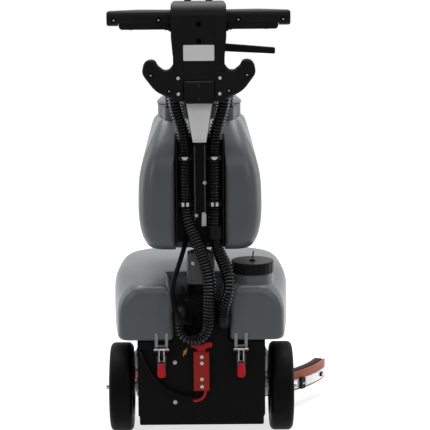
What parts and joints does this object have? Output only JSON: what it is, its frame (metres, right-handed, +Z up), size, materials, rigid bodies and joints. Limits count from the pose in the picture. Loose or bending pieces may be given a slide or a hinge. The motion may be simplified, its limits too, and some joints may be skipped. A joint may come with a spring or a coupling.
{
  "type": "floor scrubber",
  "caption": "Walk-behind floor scrubber with a round brush, a tilting column carrying a recovery tank and a control head, ribbed hoses and a curved squeegee.",
  "frame": {"origin": "on the floor, midway between the wheels and under their axle", "axes": "+X right as the operator sees it, +Y forward, +Z up"},
  "size_m": [0.5507, 0.6806, 1.027],
  "materials": {
    "black_sheet": "satin black powder coat",
    "tank_grey": "satin moulded grey",
    "black_plastic": "fine textured black",
    "cap_black": "moulded black",
    "lid_grey": "smooth bluish grey",
    "tyre_rubber": "plain rubber",
    "rim_black": "moulded black",
    "steel": "zinc plated",
    "latch_steel": "bright zinc",
    "latch_red": "red moulded sleeve",
    "connector_red": "red moulded housing",
    "handle_red": "dark red moulded handle",
    "hose_black": "ribbed hose",
    "cable_black": "smooth sheath",
    "lead_red": "smooth sheath",
    "blade_rubber": "red-brown rubber",
    "seal_rubber": "soft black rubber",
    "motor_metal": "painted casting",
    "battery_case": "black case",
    "aluminium": "satin",
    "board_green": "coated board",
    "bristle": "nylon strands",
    "grip_black": "soft matt grip",
    "button_grey": "moulded key"
  },
  "bodies": {
    "base": {"chassis_tray": "black_sheet", "rear_panel": "black_sheet", "tank_deck": "black_sheet", "column_bracket": "black_sheet", "pivot_pin": "steel", "stub_axles": "steel", "battery_pack": "battery_case", "brush_deck": "black_plastic", "brush_motor": "motor_metal", "vacuum_motor": "black_plastic", "solution_tank": "tank_grey", "latch_fittings": "latch_steel", "battery_socket": "connector_red", "black_lead": "cable_black", "red_lead": "lead_red", "hose_ports": "black_plastic", "guide_rail": "steel"},
    "left_wheel": {"left_tyre": "tyre_rubber", "left_rim": "rim_black"},
    "right_wheel": {"right_tyre": "tyre_rubber", "right_rim": "rim_black"},
    "brush": {"brush_disc": "black_plastic", "brush_bristles": "bristle"},
    "squeegee_carriage": {"squeegee_carriage": "black_plastic"},
    "squeegee": {"squeegee_frame": "aluminium", "squeegee_blades": "blade_rubber", "blade_strap": "steel"},
    "column": {"column_tube": "black_sheet", "hose_channel": "black_sheet", "recovery_tank": "tank_grey", "hose_clips": "black_plastic", "left_hose": "hose_black", "right_hose": "hose_black", "harness_cable": "cable_black", "head_rear_shell": "black_plastic", "head_front_shell": "black_plastic", "control_board": "board_green", "head_lower_cover": "black_plastic", "handlebar": "steel", "grips": "grip_black", "cable_hooks": "black_plastic"},
    "recovery_lid": {"recovery_lid": "lid_grey", "lid_gasket": "seal_rubber", "float_cage": "black_plastic"},
    "cap_rivet": {"cap_rivet": "cap_black"},
    "fill_cap": {"fill_cap": "cap_black", "cap_gasket": "seal_rubber"},
    "left_latch_lever": {"left_latch_lever": "latch_steel", "left_latch_grip": "latch_red"},
    "right_latch_lever": {"right_latch_lever": "latch_steel", "right_latch_grip": "latch_red"},
    "left_latch_hook": {"left_latch_hook": "latch_steel"},
    "right_latch_hook": {"right_latch_hook": "latch_steel"},
    "battery_plug": {"plug_housing": "connector_red", "plug_handle": "handle_red"},
    "left_paddle": {"left_paddle": "black_plastic"},
    "right_paddle": {"right_paddle": "black_plastic"},
    "squeegee_lever": {"squeegee_lever": "black_plastic"},
    "left_button": {"left_button": "button_grey"},
    "right_button": {"right_button": "button_grey"}
  },
  "joints": [
    {"name": "left_wheel_spin", "type": "hinge", "parent": "base", "child": "left_wheel", "pos_m": [-0.19, 0, 0.106], "axis": [1, 0, 0], "continuous": true},
    {"name": "right_wheel_spin", "type": "hinge", "parent": "base", "child": "right_wheel", "pos_m": [0.19, 0, 0.106], "axis": [1, 0, 0], "continuous": true},
    {"name": "brush_spin", "type": "hinge", "parent": "base", "child": "brush", "pos_m": [0, 0.337, 0.04], "axis": [0, 0, 1], "continuous": true},
    {"name": "squeegee_swing", "type": "hinge", "parent": "base", "child": "squeegee_carriage", "pos_m": [0, 0.702, 0.15], "axis": [0, 0, 1], "range_deg": [-17.7, 2.3]},
    {"name": "squeegee_lift", "type": "slide", "parent": "squeegee_carriage", "child": "squeegee", "axis": [0, 0, 1], "range_m": [-0.04, 0]},
    {"name": "column_tilt", "type": "hinge", "parent": "base", "child": "column", "pos_m": [0, -0.09, 0.33], "axis": [1, 0, 0], "range_deg": [0, 40], "deforming": ["left_hose", "right_hose", "harness_cable"]},
    {"name": "recovery_lid_hinge", "type": "hinge", "parent": "column", "child": "recovery_lid", "pos_m": [0, 0.143, 0.788], "axis": [-1, 0, 0], "range_deg": [0, 80]},
    {"name": "cap_lift", "type": "slide", "parent": "base", "child": "cap_rivet", "axis": [0, 0, 1], "range_m": [0, 0.0025]},
    {"name": "cap_turn", "type": "hinge", "parent": "cap_rivet", "child": "fill_cap", "pos_m": [0.1207, -0.06, 0.41], "axis": [0, 0, 1], "range_deg": [0, 180]},
    {"name": "left_latch_turn", "type": "hinge", "parent": "base", "child": "left_latch_lever", "pos_m": [-0.0917, -0.1315, 0.216], "axis": [-1, 0, 0], "range_deg": [0, 95]},
    {"name": "right_latch_turn", "type": "hinge", "parent": "base", "child": "right_latch_lever", "pos_m": [0.0917, -0.1315, 0.216], "axis": [-1, 0, 0], "range_deg": [0, 95]},
    {"name": "left_hook_turn", "type": "hinge", "parent": "left_latch_lever", "child": "left_latch_hook", "pos_m": [-0.0917, -0.1305, 0.204], "axis": [-1, 0, 0], "range_deg": [-66.5, 0]},
    {"name": "right_hook_turn", "type": "hinge", "parent": "right_latch_lever", "child": "right_latch_hook", "pos_m": [0.0917, -0.1305, 0.204], "axis": [-1, 0, 0], "range_deg": [-66.5, 0]},
    {"name": "plug_pull", "type": "slide", "parent": "base", "child": "battery_plug", "axis": [0, 0, 1], "range_m": [0, 0.022]},
    {"name": "left_paddle_squeeze", "type": "hinge", "parent": "column", "child": "left_paddle", "pos_m": [0, -0.072, 0.9645], "axis": [-1, 0, 0], "range_deg": [0, 5.5], "stiffness_Nm_per_rad": 0.6, "springref_deg": -4.58},
    {"name": "right_paddle_squeeze", "type": "hinge", "parent": "column", "child": "right_paddle", "pos_m": [0, -0.072, 0.9645], "axis": [-1, 0, 0], "range_deg": [0, 5.5], "stiffness_Nm_per_rad": 0.6, "springref_deg": -4.58},
    {"name": "squeegee_lever_turn", "type": "hinge", "parent": "column", "child": "squeegee_lever", "pos_m": [0.046, -0.075, 0.921], "axis": [0, 1, 0], "range_deg": [0, 40]},
    {"name": "left_button_press", "type": "slide", "parent": "column", "child": "left_button", "axis": [0, 0, -1], "range_m": [0, 0.002], "stiffness_N_per_m": 400, "springref_m": -0.002},
    {"name": "right_button_press", "type": "slide", "parent": "column", "child": "right_button", "axis": [0, 0, -1], "range_m": [0, 0.002], "stiffness_N_per_m": 400, "springref_m": -0.002}
  ],
  "couplings": [
    {"joint": "cap_lift", "follows": "cap_turn", "m_per_rad": 0.000795},
    {"joint": "left_hook_turn", "follows": "left_latch_turn", "ratio": -0.7},
    {"joint": "right_hook_turn", "follows": "right_latch_turn", "ratio": -0.7},
    {"joint": "squeegee_lever_turn", "follows": "squeegee_lift", "rad_per_m": -17.45}
  ]
}
